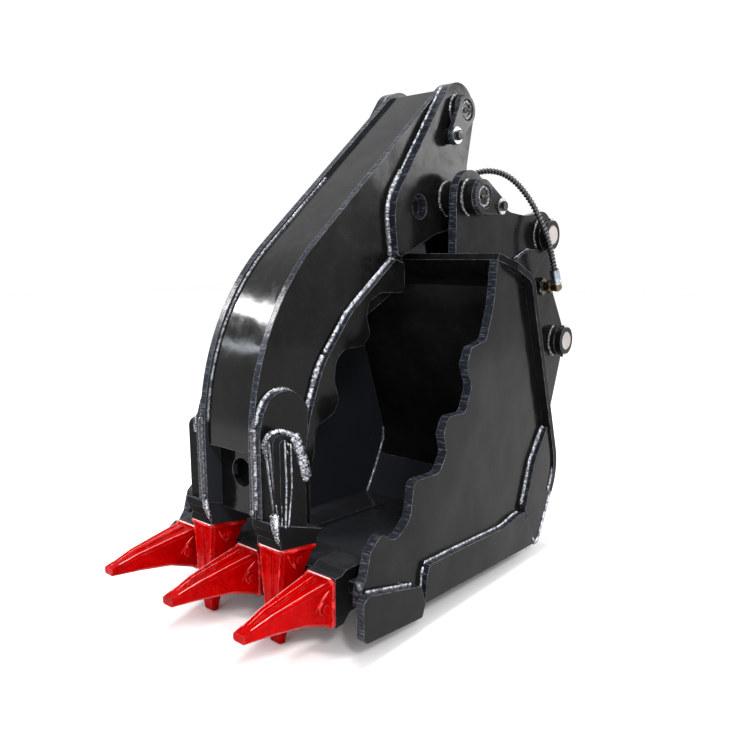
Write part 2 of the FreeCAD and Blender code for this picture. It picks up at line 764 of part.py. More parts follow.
def rod_eye():
    neck = up([(0, NECK_END), (NECK_R - 3, NECK_END), (NECK_R, NECK_END + 3), (NECK_R, ROD_REACH - 10),
               (0, ROD_REACH - 10)])
    eye = rod(-ROD_EYE_HALF, ROD_EYE_HALF, (0, ROD_REACH), ROD_EYE_R)
    bore = rod(-ROD_EYE_HALF - 1, ROD_EYE_HALF + 1, (0, ROD_REACH), ROD_PIN_R + OPEN_PIVOT_GAP)
    return merged(neck, eye).cut(bore)


def base_lug():
    inner = EYE_HALF + SIDE_GAP
    low, high = (372, 300), (300, 474)
    points = [high, low] + lobe(CYLINDER_BASE, 32, low, high)
    return plate(inner, inner + LUG_T, points, [(CYLINDER_BASE, ROD_PIN_R + RUNNING_FIT)]).cut(shell_filled())


# Hoses and fittings

def hose_exit():
    return V(*HOSE_POINTS[0])


def cylinder_port():
    """Boss on the barrel with an elbow that turns up beside it."""
    axis = V(0, -math.sin(math.radians(CYLINDER_LEAN)), math.cos(math.radians(CYLINDER_LEAN)))
    base = V(0, CYLINDER_BASE[0], CYLINDER_BASE[1]) + axis * PORT_AT
    exit_at = hose_exit()
    corner = exit_at - V(0, 0, 22)
    radial = corner - base
    radial = (radial - axis * radial.dot(axis)).normalize()
    seat = base + radial * (BARREL_R - 2)
    inner = Part.makeCylinder(BARREL_R, 60, base - axis * 30, axis)
    boss = Part.makeCylinder(15, 12, seat, radial).cut(inner)
    start = base + radial * (BARREL_R + 6)
    arm = (corner - start).normalize()
    stem = Part.makeCylinder(8.5, (corner - start).Length, start, arm)
    riser = turned([(0, 0), (10, 0), (10, 10), (8.6, 10), (8.6, 22), (0, 22)], corner, V(0, 0, 1))
    ball = Part.makeSphere(10, corner)
    elbow = merged(stem, ball, riser).cut(Part.makeCylinder(BARREL_R + 10, 60, base - axis * 30, axis))
    boss = boss.cut(Part.makeCylinder(4, 40, seat - radial * 4, radial))
    return boss, elbow


def spare_port():
    """Plugless port boss by the gland; its own hose is out of sight."""
    axis = V(0, -math.sin(math.radians(CYLINDER_LEAN)), math.cos(math.radians(CYLINDER_LEAN)))
    back = V(0, math.cos(math.radians(CYLINDER_LEAN)), math.sin(math.radians(CYLINDER_LEAN)))
    base = V(0, CYLINDER_BASE[0], CYLINDER_BASE[1]) + axis * (BARREL_END - 34)
    body = Part.makeCylinder(14, 14, base + back * (BARREL_R - 3), back)
    body = body.cut(Part.makeCylinder(BARREL_R, 80, base - axis * 40, axis))
    return body.cut(Part.makeCylinder(7, 9, base + back * (BARREL_R + 4), back))


def bulkhead():
    y, z = BULKHEAD
    inner = hexagon(V(EAR_IN, y, z), V(-1, 0, 0), 32, 8)
    body = merged(inner, rod(EAR_IN - 22, EAR_OUT + 20, BULKHEAD, 10.5))
    return body.cut(rod(EAR_IN - 40, EAR_IN - 4, BULKHEAD, 6))


def bulkhead_nut():
    y, z = BULKHEAD
    return hexagon(V(EAR_OUT, y, z), V(1, 0, 0), 32, 11).cut(rod(EAR_OUT - 1, EAR_OUT + 30, BULKHEAD, 10.5))


def hose_elbow():
    end = V(*HOSE_POINTS[-1])
    centre = V(end.x, BULKHEAD[0], BULKHEAD[1])
    arm = centre - end
    seat = Part.makeCylinder(9.5, end.x - EAR_OUT - 20, V(EAR_OUT + 20, *BULKHEAD), V(1, 0, 0))
    hexed = hexagon(V(EAR_OUT + 20, *BULKHEAD), V(1, 0, 0), 24, 9)
    ball = Part.makeSphere(10.5, centre)
    riser = Part.makeCylinder(9.5, arm.Length - 31, centre, -arm)
    crimp = turned([(0, 0), (11, 0), (11, 4), (10, 6), (10, 24), (9.2, 31), (0, 31)], end - (-arm).normalize() * 31,
                   -arm)
    elbow = merged(seat, hexed, ball, riser)
    crimp = crimp.cut(elbow)
    return elbow, crimp


def tube_along(points, r):
    """Round tube of straight runs joined by tangent arcs; returns the solid and its length."""
    spots = [V(*p) for p in points]
    edges = []
    start = spots[0]
    length = 0.0
    radii = []
    for i in range(1, len(spots) - 1):
        back = spots[i - 1] - spots[i]
        ahead = spots[i + 1] - spots[i]
        half_turn = (math.pi - back.getAngle(ahead)) / 2
        cut = 0.45 * min(back.Length, ahead.Length)
        radius = cut / math.tan(half_turn)
        back.normalize()
        ahead.normalize()
        middle = spots[i] + (back + ahead).normalize() * (radius / math.cos(half_turn) - radius)
        first = spots[i] + back * cut
        last = spots[i] + ahead * cut
        edges.append(Part.makeLine(start, first))
        edges.append(Part.Arc(first, middle, last).toShape())
        length += start.distanceToPoint(first) + radius * 2 * half_turn
        radii.append(round(radius, 1))
        start = last
    edges.append(Part.makeLine(start, spots[-1]))
    length += start.distanceToPoint(spots[-1])
    spine = Part.Wire(edges)
    heading = spots[1] - spots[0]
    profile = Part.Wire([Part.makeCircle(r, spots[0], heading)])
    body = spine.makePipeShell([profile], True, True)
    print("hose length", round(length, 1), "bend radii", radii)
    print("hose volume", round(body.Volume), "section times length", round(math.pi * r * r * length))
    return body


# Assembly

back = back_plate()
keep("back_plate", back)
keep("floor_plate", floor_plate())
keep_pair("side_plate", side_plate())
keep_both("front_blocks", front_block())
keep_both("wear_strips", wear_strip())
keep_both("heel_plates", heel_plate(back))
keep_both("floor_wear_bars", floor_strips())
keep("cutting_edge", cutting_edge())

keep_pair("ear", ear())
keep_both("ear_doublers", ear_doubler())
keep_both("mount_pin_bosses", mount_boss(STICK_PIN, True), mount_boss(STICK_PIN, False),
          mount_boss(LINK_PIN, True), mount_boss(LINK_PIN, False))
keep_both("mount_pin_bushings", mount_bush(STICK_PIN), mount_bush(LINK_PIN))

for name, centre in (("stick_pin", STICK_PIN), ("link_pin", LINK_PIN)):
    body, collar, cross, nut = mount_pin(centre)
    keep(name, body)
    keep(name + "_collar", collar)
    keep(name + "_cross_bolt", cross, nut)

pivot_tube, pivot_block = pivot_boss()
keep("pivot_bosses", pivot_tube, mirrored(pivot_tube), pivot_block)
keep("pivot_pin", pin(-PIVOT_BOSS_OUT - 2, PIVOT_BOSS_OUT, THUMB_PIVOT, PIVOT_PIN_R))
keep("pivot_pin_flag", flag(PIVOT_BOSS_OUT, THUMB_PIVOT, PIVOT_FLAG_BOLT, 30.5, 16, 5.5))
keep("pivot_flag_bolt", bolt(PIVOT_BOSS_OUT + FLAG_T + 3, PIVOT_FLAG_BOLT, 10.4, FLAG_T + 20),
     washer(PIVOT_BOSS_OUT + FLAG_T, PIVOT_FLAG_BOLT, 15, 5.25, 3))

keep_pair("thumb_wall", thumb_wall())
keep_both("pivot_plates", pivot_plate())
grip = grip_plate()
pad = foot_pad(grip)
keep_both("grip_plates", grip)
keep_both("thumb_foot_pads", pad)
keep("thumb_front_cover", front_cover())
keep("thumb_lower_panel", lower_panel())
keep("thumb_rear_liner", rear_liner())
keep_both("thumb_hub_bosses", hub_boss())
keep_both("thumb_hub_bushings", hub_bush())
rod_tube, rod_block = rod_boss()
keep("rod_pin_bosses", rod_tube, mirrored(rod_tube), rod_block)
keep_both("rod_pin_spacers", rod_spacer())
keep("rod_pin", pin(-PIVOT_OUT - 13, PIVOT_OUT + 11, ROD_PIN, ROD_PIN_R))
keep("rod_pin_flag", flag(PIVOT_OUT + 11, ROD_PIN, ROD_FLAG_BOLT, 27, 16, 5.5))
keep("rod_flag_bolt", bolt(PIVOT_OUT + 14 + FLAG_T, ROD_FLAG_BOLT, 10.4, FLAG_T + 12),
     washer(PIVOT_OUT + 11 + FLAG_T, ROD_FLAG_BOLT, 15, 5.25, 3))

adapter = bucket_adapter()
point = tooth()
lock = tooth_pin()
stations = (("right", TOOTH_PITCH), ("middle", 0.0), ("left", -TOOTH_PITCH))
adapters = []
for name, x in stations:
    shifted = adapter.copy()
    shifted.translate(V(x, 0, 0))
    adapters.append(shifted)
    keep("bucket_tooth_" + name, on_bucket(point, x))
keep("bucket_adapters", *adapters)
keep("bucket_tooth_pins", *[on_bucket(lock, x) for name, x in stations])
keep_both("thumb_adapters", thumb_adapter(thumb_wall(), grip, pad))
keep_both("thumb_teeth", on_thumb(point))
keep_both("thumb_tooth_pins", on_thumb(lock))

keep_both("cylinder_base_lugs", base_lug())
lug_out = EYE_HALF + SIDE_GAP + LUG_T
keep("cylinder_base_pin", pin(-lug_out - 3, lug_out + 6, CYLINDER_BASE, ROD_PIN_R))
boss, elbow = cylinder_port()
base_bush = ring(-EYE_HALF, EYE_HALF, CYLINDER_BASE, ROD_PIN_R + BUSH_WALL, ROD_PIN_R + RUNNING_FIT)
keep("cylinder_barrel", on_cylinder(barrel()), base_bush)
keep("cylinder_gland", on_cylinder(gland()), on_cylinder(wiper()))
keep("cylinder_ports", boss, spare_port(), elbow)
keep("piston", on_cylinder(piston()), on_cylinder(piston_seal()))
keep("piston_rod", on_cylinder(piston_rod()))
keep("rod_eye", on_cylinder(rod_eye()))

keep("bulkhead_fitting", bulkhead(), bulkhead_nut())
outer_elbow, crimp = hose_elbow()
keep("hose_elbow", outer_elbow)
keep("hose_crimp", crimp)
keep("hose", tube_along(HOSE_POINTS, HOSE_R))


# Export

os.makedirs("parts", exist_ok=True)
for name, bodies in solids.items():
    clean = []
    for body in bodies:
        moved = body.copy()
        moved.translate(V(0, -ORIGIN[0], -ORIGIN[1]))
        clean.extend(moved.Solids)
    shape = clean[0] if len(clean) == 1 else Part.makeCompound(clean)
    if not shape.isValid():
        print("not valid", name)
    print(name, len(clean), round(shape.Volume / 1000.0, 1), "cm3")
    shape.exportStep("parts/" + name + ".step")
print(len(solids), "nodes")
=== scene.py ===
import json
import math

import bmesh
import bpy
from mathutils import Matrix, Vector, noise


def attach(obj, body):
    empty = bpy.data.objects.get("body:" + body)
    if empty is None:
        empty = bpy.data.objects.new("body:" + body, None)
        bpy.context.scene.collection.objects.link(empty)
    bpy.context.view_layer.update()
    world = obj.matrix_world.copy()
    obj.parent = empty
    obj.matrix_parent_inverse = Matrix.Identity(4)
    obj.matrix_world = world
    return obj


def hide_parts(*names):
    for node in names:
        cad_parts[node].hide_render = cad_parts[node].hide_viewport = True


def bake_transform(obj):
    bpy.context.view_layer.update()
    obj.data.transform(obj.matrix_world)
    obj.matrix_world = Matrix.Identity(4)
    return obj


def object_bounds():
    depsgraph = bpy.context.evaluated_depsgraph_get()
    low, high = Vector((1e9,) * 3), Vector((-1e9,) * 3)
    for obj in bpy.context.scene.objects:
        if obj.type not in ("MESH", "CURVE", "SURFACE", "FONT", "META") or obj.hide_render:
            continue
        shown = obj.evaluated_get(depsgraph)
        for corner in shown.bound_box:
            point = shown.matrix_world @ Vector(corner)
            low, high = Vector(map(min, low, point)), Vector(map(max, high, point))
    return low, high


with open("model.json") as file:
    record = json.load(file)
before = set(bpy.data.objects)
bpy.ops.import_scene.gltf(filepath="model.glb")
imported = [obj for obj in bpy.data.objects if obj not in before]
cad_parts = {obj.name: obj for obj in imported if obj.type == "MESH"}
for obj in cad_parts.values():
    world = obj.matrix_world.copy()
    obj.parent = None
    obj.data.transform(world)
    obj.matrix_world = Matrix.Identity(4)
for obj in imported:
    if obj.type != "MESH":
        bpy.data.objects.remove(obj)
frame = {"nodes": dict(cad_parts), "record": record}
cad_low, cad_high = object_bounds()
nodes = frame["nodes"]

MM = 0.001

# The shared frame's origin, on the stick pin's axis, in the bucket's own millimetres
ORIGIN = Vector((0.0, 538.0, 541.0))

# Camera, matched to the photograph
CAMERA_PLACE = (859.7, -878.1, 500.0)
CAMERA_ANGLES = (80.362, 0.07, 39.828)
CAMERA_LENS = 34.36
CAMERA_SENSOR = 36.0

FLOOR_HALF = 12.0
WORLD_STRENGTH = 1.03

# Stations across the bucket, in millimetres from its middle plane, as in the CAD model
WALL_IN = 52.0
WALL_OUT = 64.0
PIVOT_OUT = 82.0
EAR_OUT = 131.0
SIDE_IN = 205.0
SIDE_OUT = 221.0
HEEL_OUT = 233.0
PAD_OUT = 76.0
PIVOT_FLAG_FACE = 160.0
ROD_FLAG_FACE = 101.0
PIVOT_WASHER_FACE = 163.0
ROD_WASHER_FACE = 104.0

# Teeth: each is drawn with its rear at y = 0 and its tip at minus y, then set in place
TOOTH_PITCH = 160.0
TOOTH_REAR = (-170.0, 2.0)
THUMB_TOOTH_X = 82.0
THUMB_TOOTH_REAR = (-162.5, 65.4)
THUMB_TOOTH_LEAN = 81.7
TOOTH_HALF_W = 28.0
TOOTH_HALF_H = 36.0
TOOTH_CHAMFER = 5.0

# Pin centres in the bucket's own (y, z)
STICK_PIN = (538.0, 541.0)
LINK_PIN = (623.0, 311.0)
THUMB_PIVOT = (262.0, 603.0)
ROD_PIN = (290.0, 762.0)
PIVOT_FLAG_BOLT = (319.0, 589.0)
ROD_FLAG_BOLT = (255.0, 713.0)

# Pin flags: radii of their lobes, and how far the pin's end sits back
PIVOT_LOBE = 30.5
ROD_LOBE = 27.0
BOLT_LOBE = 16.0
FLAG_RECESS = 4.5
FLAG_THICK = 8.0
FLAG_HOLE_SHARE = 0.68

# Hose, from the cylinder's port to the elbow on the ear
HOSE_R = 4.7
HOSE_POINTS = [
    (-58, 430, 498), (-58, 430, 550), (-56, 441, 608), (-24, 453, 655), (30, 463, 677),
    (86, 469, 664), (132, 474, 618), (160, 484, 562), (172, 501, 513), (172, 520, 470),
]
HOSE_SIDES = 20
GUARD_WIRE_R = 1.6
GUARD_PITCH = 7.4
GUARD_STEPS = 14
GUARD_SINK = 0.35
GUARD_SIDES = 6


def spot(x, y, z):
    """A point given in the bucket's own millimetres, in the frame's metres."""
    return (Vector((x, y, z)) - ORIGIN) * MM


# Camera, floor and light

def make_camera():
    data = bpy.data.cameras.new("camera")
    data.lens = CAMERA_LENS
    data.sensor_width = CAMERA_SENSOR
    data.clip_start = 0.05
    data.clip_end = 60.0
    camera = bpy.data.objects.new("camera", data)
    camera.location = spot(*CAMERA_PLACE)
    camera.rotation_euler = [math.radians(angle) for angle in CAMERA_ANGLES]
    bpy.context.scene.collection.objects.link(camera)
    bpy.context.scene.camera = camera


def area_light(name, place, target, width, height, watts, colour=(1, 1, 1)):
    data = bpy.data.lights.new(name, "AREA")
    data.shape = "RECTANGLE"
    data.size = width
    data.size_y = height
    data.energy = watts
    data.color = colour
    light = bpy.data.objects.new(name, data)
    light.location = place
    light.rotation_euler = (Vector(target) - Vector(place)).to_track_quat("-Z", "Y").to_euler()
    bpy.context.scene.collection.objects.link(light)


def make_floor():
    mesh = bpy.data.meshes.new("floor")
    far = FLOOR_HALF
    corners = [(-far, -far), (far, -far), (far, far), (-far, far)]
    mesh.from_pydata([(x, y, cad_low.z) for x, y in corners], [], [(0, 1, 2, 3)])
    floor = bpy.data.objects.new("floor", mesh)
    bpy.context.scene.collection.objects.link(floor)
    s = Shader("floor_white")
    s.set(Base_Color=(0.96, 0.96, 0.96, 1), Roughness=0.9)
    floor.data.materials.append(s.material)


def make_studio():
    world = bpy.data.worlds.new("studio")
    bpy.context.scene.world = world
    world.use_nodes = True
    background = world.node_tree.nodes["Background"]
    background.inputs["Color"].default_value = (1.0, 1.0, 1.0, 1.0)
    background.inputs["Strength"].default_value = WORLD_STRENGTH
    middle = (0.0, -0.2, -0.1)
    bend = (0.0, -0.68, -0.12)
    upper_wall = (0.08, -0.33, 0.16)
    cool = (0.85, 0.92, 1.0)
    area_light("key_left", (-1.66, -1.52, 1.05), bend, 0.5, 0.18, 36)
    area_light("low_left", (-1.65, -1.92, 0.58), bend, 0.5, 0.1, 3.5, cool)
    area_light("front_right", (2.3, -2.0, 1.7), middle, 0.5, 0.5, 40)
    area_light("top_strip", (0.2, -0.3, 2.6), middle, 1.1, 0.25, 45)
    area_light("back_right", (2.2, 2.0, 1.4), middle, 0.4, 0.8, 13)
    area_light("plate_glow", (1.75, 2.05, 0.62), upper_wall, 0.7, 0.5, 11)
    bpy.context.scene.view_settings.view_transform = "Standard"


# Materials

# Colours, as linear red, green and blue
DUST = (0.022, 0.022, 0.021)
UPWARD_PALE_PATCH = (0.028, 0.029, 0.032)
INWARD_PAINTED_LIGHT = (0.02, 0.0225, 0.027)
CUT_FACE_AND_SHEEN = (0.014, 0.016, 0.0235)
DRAG_LINE_AND_SHEEN = (0.2, 0.215, 0.26)
EDGE_WEAR_AND_HIGHLIGHT = (0.3, 0.31, 0.36)
WELD_FLANK = (0.004, 0.0045, 0.0065)
WELD_CROWN_HIGHLIGHT = (0.84, 0.87, 0.97)
DARK_RED = (0.26, 0.0, 0.0)
BRIGHT_RED = (0.44, 0.0, 0.0003)
RED_WEAR_AND_HIGHLIGHT = (0.9, 0.2, 0.2)
RED_GLINT = (1.0, 0.55, 0.55)
RIDGE_GLINT = (1.0, 0.66, 0.66)


class Shader:
    """A small helper that adds and wires nodes in one material."""

    def __init__(self, name):
        self.material = bpy.data.materials.new(name)
        self.material.use_nodes = True
        self.tree = self.material.node_tree
        self.main = self.tree.nodes["Principled BSDF"]
        self.coords = self.add("ShaderNodeTexCoord").outputs["Object"]

    def add(self, kind):
        return self.tree.nodes.new(kind)

    def link(self, value, socket):
        """Wires an output, or sets a plain value."""
        if isinstance(value, (int, float, tuple)):
            if isinstance(value, tuple) and len(value) == 3 and len(socket.default_value) == 4:
                value = (*value, 1.0)
            socket.default_value = value
        else:
            self.tree.links.new(value, socket)

    def noise(self, scale, detail=4.0, rough=0.5, stretch=None):
        node = self.add("ShaderNodeTexNoise")
        node.inputs["Scale"].default_value = scale
        node.inputs["Detail"].default_value = detail
        node.inputs["Roughness"].default_value = rough
        coords = self.coords
        if stretch is not None:
            mapping = self.add("ShaderNodeMapping")
            mapping.inputs["Scale"].default_value = stretch
            self.link(coords, mapping.inputs["Vector"])
            coords = mapping.outputs["Vector"]
        self.link(coords, node.inputs["Vector"])
        return node.outputs["Fac"]

    def span(self, source, low, high, from_low=0.3, from_high=0.7):
        node = self.add("ShaderNodeMapRange")
        node.inputs["From Min"].default_value = from_low
        node.inputs["From Max"].default_value = from_high
        node.inputs["To Min"].default_value = low
        node.inputs["To Max"].default_value = high
        self.link(source, node.inputs["Value"])
        return node.outputs["Result"]

    def mix(self, factor, one, two):
        node = self.add("ShaderNodeMixRGB")
        self.link(factor, node.inputs["Fac"])
        self.link(one, node.inputs["Color1"])
        self.link(two, node.inputs["Color2"])
        return node.outputs["Color"]

    def math(self, operation, one, two=0.0):
        node = self.add("ShaderNodeMath")
        node.operation = operation
        self.link(one, node.inputs[0])
        self.link(two, node.inputs[1])
        return node.outputs[0]

    def bump(self, height, strength, distance, normal=None):
        node = self.add("ShaderNodeBump")
        node.inputs["Strength"].default_value = strength
        node.inputs["Distance"].default_value = distance
        self.link(height, node.inputs["Height"])
        if normal is not None:
            self.link(normal, node.inputs["Normal"])
        return node.outputs["Normal"]

    def dot(self, one, two):
        node = self.add("ShaderNodeVectorMath")
        node.operation = "DOT_PRODUCT"
        self.link(one, node.inputs[0])
        self.link(two, node.inputs[1])
        return node.outputs["Value"]

    def split(self, vector):
        """The X, Y and Z outputs of a vector."""
        node = self.add("ShaderNodeSeparateXYZ")
        self.link(vector, node.inputs["Vector"])
        return node.outputs

    def face_normal(self, kind="True Normal"):
        return self.add("ShaderNodeNewGeometry").outputs[kind]

    def soft_edges(self, radius):
        node = self.add("ShaderNodeBevel")
        node.samples = 4
        node.inputs["Radius"].default_value = radius
        return node.outputs["Normal"]

    def edge_mask(self, rounded):
        """Near one within the rounded band of a sharp edge, zero on the flats."""
        turned_away = self.math("SUBTRACT", 1.0, self.dot(rounded, self.face_normal()))
        return self.span(turned_away, 0.0, 1.0, 0.02, 0.2)

    def facing(self, normal, direction, low, high):
        """One where the bumped surface faces a fixed direction, zero where it turns away."""
        return self.span(self.dot(normal, direction), 0.0, 1.0, low, high)

    def cut_faces(self):
        """One on the cut edges of plates that lie across X, zero on their flat faces."""
        return self.math("LESS_THAN", self.math("ABSOLUTE", self.split(self.face_normal())["X"]), 0.5)

    def set(self, **values):
        for key, value in values.items():
            self.link(value, self.main.inputs[key.replace("_", " ")])


def black_enamel(name, torch_cut=False, rough=0.1, specular=0.11, lift=0.0, wave=0.35):
    """Gloss enamel on steel plate: wavy, dusty in patches, paler on edges, where paint wear is mixed
    with a painted edge highlight.

    With torch_cut, the cut edges of plates that lie across X show fine drag lines across them, and
    both the cut faces and the lines are made paler as a painted highlight.
    lift makes the paint paler, and wave is how far the sheet is from flat."""
    s = Shader(name)
    patches = s.noise(7.0, 6.0, 0.6)
    dust = s.noise(34.0, 6.0, 0.7)
    rounded = s.soft_edges(0.0016)
    wear = s.span(s.noise(55.0, 4.0, 0.7), 0.15, 1.0, 0.38, 0.6)
    worn_and_lit_edge = s.math("MULTIPLY", s.edge_mask(rounded), wear)
    low = (0.002 + lift, 0.0024 + lift * 1.1, 0.0022 + lift * 1.4)
    high = (0.007 + lift, 0.0072 + lift * 1.1, 0.0066 + lift * 1.4)
    base = s.mix(s.span(patches, 0.0, 1.0), low, high)
    base = s.mix(s.span(dust, 0.0, 0.25, 0.5, 0.75), base, DUST)
    normals = s.split(s.face_normal())
    # Faces that look up are paler in patches
    level = s.span(normals["Z"], 0.0, 1.0, 0.6, 0.97)
    upward_pale_mask = s.math("MULTIPLY", level, s.span(dust, 0.35, 1.0))
    base = s.mix(upward_pale_mask, base, UPWARD_PALE_PATCH)
    # Faces turned towards the middle plane get a paler cool grey: painted light standing in for the
    # light they catch inside the bucket
    inward = s.math("LESS_THAN", s.math("MULTIPLY", normals["X"], s.split(s.coords)["X"]), -0.02)
    base = s.mix(inward, base, INWARD_PAINTED_LIGHT)
    normal = s.bump(s.noise(5.0, 2.0), wave, 0.02, rounded)
    normal = s.bump(s.noise(28.0, 2.0), 0.2, 0.002, normal)
    normal = s.bump(s.noise(420.0, 2.0), 0.1, 0.0004, normal)
    if torch_cut:
        cut = s.cut_faces()
        drag = s.noise(1.0, 5.0, 0.6, (45.0, 420.0, 420.0))
        lines = s.math("MULTIPLY", s.span(drag, 0.0, 1.0, 0.54, 0.66), cut)
        # Cut faces and their drag lines: the cut's own bluish tone, lifted further as a painted
        # highlight
        base = s.mix(s.math("MULTIPLY", cut, 0.8), base, CUT_FACE_AND_SHEEN)
        base = s.mix(s.math("MULTIPLY", lines, 0.4), base, DRAG_LINE_AND_SHEEN)
        normal = s.bump(s.math("MULTIPLY", drag, cut), 0.4, 0.001, normal)
    # Edges paler: paint wear mixed with a painted edge highlight
    base = s.mix(worn_and_lit_edge, base, EDGE_WEAR_AND_HIGHLIGHT)
    gloss = s.math("ADD", s.span(patches, rough, rough + 0.12), s.span(dust, 0.0, 0.12, 0.5, 0.75))
    s.set(Base_Color=base, Roughness=gloss, Normal=normal, Specular_IOR_Level=specular)
    return s.material


def weld_metal(name, crown, glints):
    """Painted weld run: black flanks, and on its crown a painted highlight line, where the run faces
    a fixed direction, that the ripples break up.

    crown is how strong that painted highlight is, and glints how strong the painted glint specks all
    over."""
    s = Shader(name)
    normals = s.split(s.face_normal("Normal"))
    # Painted highlight: the run is lit where its normal faces out across X, forward and up
    across = s.math("MULTIPLY", s.math("ABSOLUTE", normals["X"]), 0.8)
    lit = s.math("ADD", across, s.math("MULTIPLY", normals["Y"], -0.35))
    lit = s.math("ADD", lit, s.math("MULTIPLY", normals["Z"], 0.45))
    line = s.span(lit, 0.0, 1.0, 0.74, 0.95)
    broken = s.span(s.noise(170.0, 4.0, 0.7), 0.08, 1.0, 0.44, 0.57)
    glint_specks = s.span(s.noise(380.0, 3.0, 0.7), 0.0, 1.0, 0.52, 0.62)
    bright = s.math("MULTIPLY", s.math("MULTIPLY", line, broken), crown)
    bright = s.math("ADD", bright, s.math("MULTIPLY", glint_specks, glints))
    base = s.mix(bright, WELD_FLANK, WELD_CROWN_HIGHLIGHT)
    normal = s.bump(s.noise(330.0, 4.0), 0.5, 0.001)
    s.set(Base_Color=base, Roughness=0.2, Normal=normal, Metallic=s.math("MULTIPLY", bright, 0.5))
    return s.material


def red_enamel():
    """Thick bright enamel over a rough casting."""
    s = Shader("red_enamel")
    shade = s.noise(26.0, 5.0, 0.6)
    rounded = s.soft_edges(0.0022)
    wear = s.span(s.noise(80.0, 4.0, 0.7), 0.0, 0.8, 0.42, 0.6)
    worn_and_lit_edge = s.math("MULTIPLY", s.edge_mask(rounded), wear)
    base = s.mix(s.span(shade, 0.0, 1.0), DARK_RED, BRIGHT_RED)
    # Edges paler and pinker: paint wear mixed with a painted edge highlight
    base = s.mix(s.math("MULTIPLY", worn_and_lit_edge, 0.35), base, RED_WEAR_AND_HIGHLIGHT)
    normal = s.bump(s.noise(60.0, 3.0, 0.6), 0.8, 0.004, rounded)
    normal = s.bump(s.noise(240.0, 4.0, 0.6), 0.4, 0.001, normal)
    # Painted highlight glints where the bumped surface faces up, left and forward
    shine = s.math("MULTIPLY", s.facing(normal, (-0.5, -0.25, 0.83), 0.955, 0.985), 0.85)
    base = s.mix(shine, base, RED_GLINT)
    s.set(Base_Color=base, Roughness=s.span(shade, 0.08, 0.16), Normal=normal)
    s.set(Specular_IOR_Level=0.03)
    return s.material


def red_ridge_lit():
    """The crowns of cast lines on the teeth, painted a lighter red than the teeth as a painted
    highlight, with painted glints where they face up.
    """
    s = Shader("red_ridge_lit")
    patch = s.span(s.noise(70.0, 4.0, 0.7), 0.0, 1.0, 0.5, 0.6)
    base = s.mix(patch, (0.36, 0.0, 0.0), (0.7, 0.03, 0.03))
    normal = s.bump(s.noise(220.0, 3.0), 0.4, 0.001)
    base = s.mix(s.facing(normal, (0.1, -0.4, 0.91), 0.92, 0.985), base, RIDGE_GLINT)
    s.set(Base_Color=base, Roughness=0.1, Normal=normal, Specular_IOR_Level=0.2)
    return s.material


def bare_metal(name, colour, rough, spots=0.15):
    s = Shader(name)
    cloud = s.noise(60.0, 5.0, 0.6)
    darker = tuple(c * (1 - spots * 2) for c in colour)
    base = s.mix(s.span(cloud, 0.0, 1.0, 0.3, 0.65), darker, colour)
    normal = s.bump(s.noise(700.0, 3.0), 0.2, 0.0004, s.soft_edges(0.0008))
    s.set(Base_Color=base, Roughness=s.span(cloud, rough * 1.3, rough * 0.75), Normal=normal)
    s.set(Metallic=1.0)
    return s.material


def zinc_washer_black_bolt(name, face):
    """Zinc up to the washer's outer face, then a blackened bolt head beyond it."""
    s = Shader(name)
    beyond = s.math("GREATER_THAN", s.split(s.coords)["X"], face * MM)
    cloud = s.span(s.noise(60.0, 5.0, 0.6), 0.0, 1.0)
    zinc = s.mix(cloud, (0.26, 0.27, 0.29), (0.46, 0.47, 0.49))
    black = s.mix(cloud, (0.012, 0.012, 0.012), (0.045, 0.045, 0.045))
    normal = s.bump(s.noise(700.0, 3.0), 0.25, 0.0004, s.soft_edges(0.0008))
    s.set(Base_Color=s.mix(beyond, zinc, black), Roughness=s.span(cloud, 0.38, 0.24), Normal=normal)
    s.set(Metallic=1.0)
    return s.material


def rubber(name, colour, rough):
    s = Shader(name)
    cloud = s.noise(90.0, 4.0)
    base = s.mix(s.span(cloud, 0.0, 1.0), tuple(c * 0.6 for c in colour), colour)
    normal = s.bump(s.noise(1400.0, 2.0), 0.2, 0.0003)
    s.set(Base_Color=base, Roughness=s.span(cloud, rough * 1.2, rough * 0.8), Normal=normal)
    return s.material


